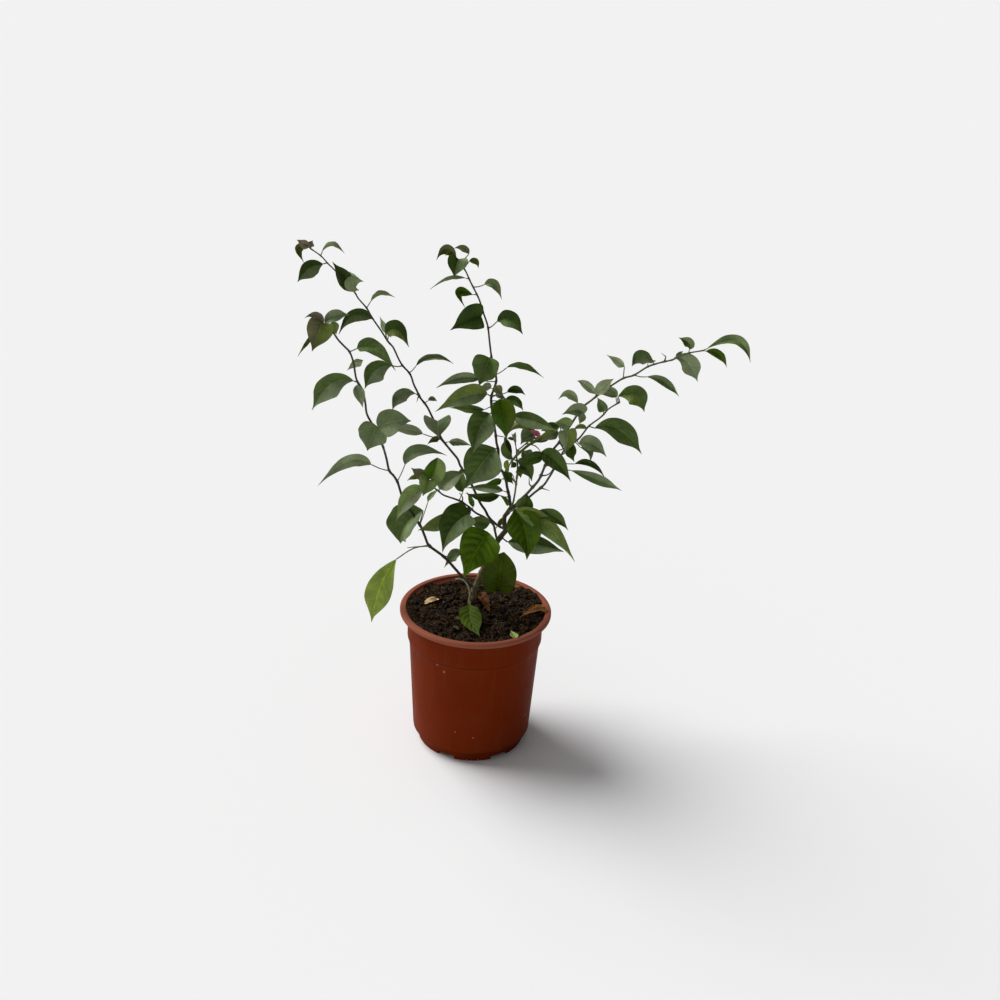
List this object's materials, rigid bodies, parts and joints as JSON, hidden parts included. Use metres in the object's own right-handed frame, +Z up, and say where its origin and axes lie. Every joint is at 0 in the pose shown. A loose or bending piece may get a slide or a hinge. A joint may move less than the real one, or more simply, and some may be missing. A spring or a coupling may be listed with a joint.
{
  "type": "potted bougainvillea",
  "caption": "Young climbing bougainvillea with long arching leafy shoots, in a tapered plastic nursery pot of soil.",
  "frame": {"origin": "centre of the underside of the pot's foot, on the ground that the pot stands on", "axes": "+Z up along the pot's axis; +X to the right and +Y away as seen from the front, where the longest shoots spread to the left and right"},
  "size_m": [0.3846, 0.146, 0.4792],
  "materials": {
    "pot_plastic": "satin terracotta-brown moulded plastic, slightly scuffed",
    "soil": "dark lumpy potting soil with tan bits and white grains",
    "bark": "tan to olive young bark",
    "leaf_deep": "soft satin living leaf, deep green",
    "leaf_grey": "soft satin living leaf, grey-green",
    "leaf_fresh": "soft satin living leaf, bright yellow-green",
    "leaf_pale": "fallen pale green leaf scrap",
    "leaf_dry_brown": "dry curled brown leaf",
    "leaf_dry_tan": "dry tan leaf scrap",
    "bract_pink": "young pink bract"
  },
  "bodies": {
    "root": {"pot": "pot_plastic", "soil": "soil", "trunk": "bark", "left_low_shoot": "leaf_grey", "left_tall_shoot": "leaf_deep", "rosette_twig": "leaf_grey", "centre_shoot": "leaf_deep", "middle_spray": "leaf_deep", "young_bract": "bract_pink", "right_long_shoot": "leaf_grey", "right_second_shoot": "leaf_deep", "right_low_spray": "leaf_fresh", "right_low_leaf": "leaf_deep", "front_big_leaf": "leaf_fresh", "round_low_leaf": "leaf_deep", "front_low_leaf": "leaf_fresh", "dry_curled_leaf": "leaf_dry_brown", "dry_leaf_right": "leaf_dry_brown", "dry_leaf_left": "leaf_dry_tan", "fallen_green_leaf": "leaf_pale"}
  },
  "joints": []
}
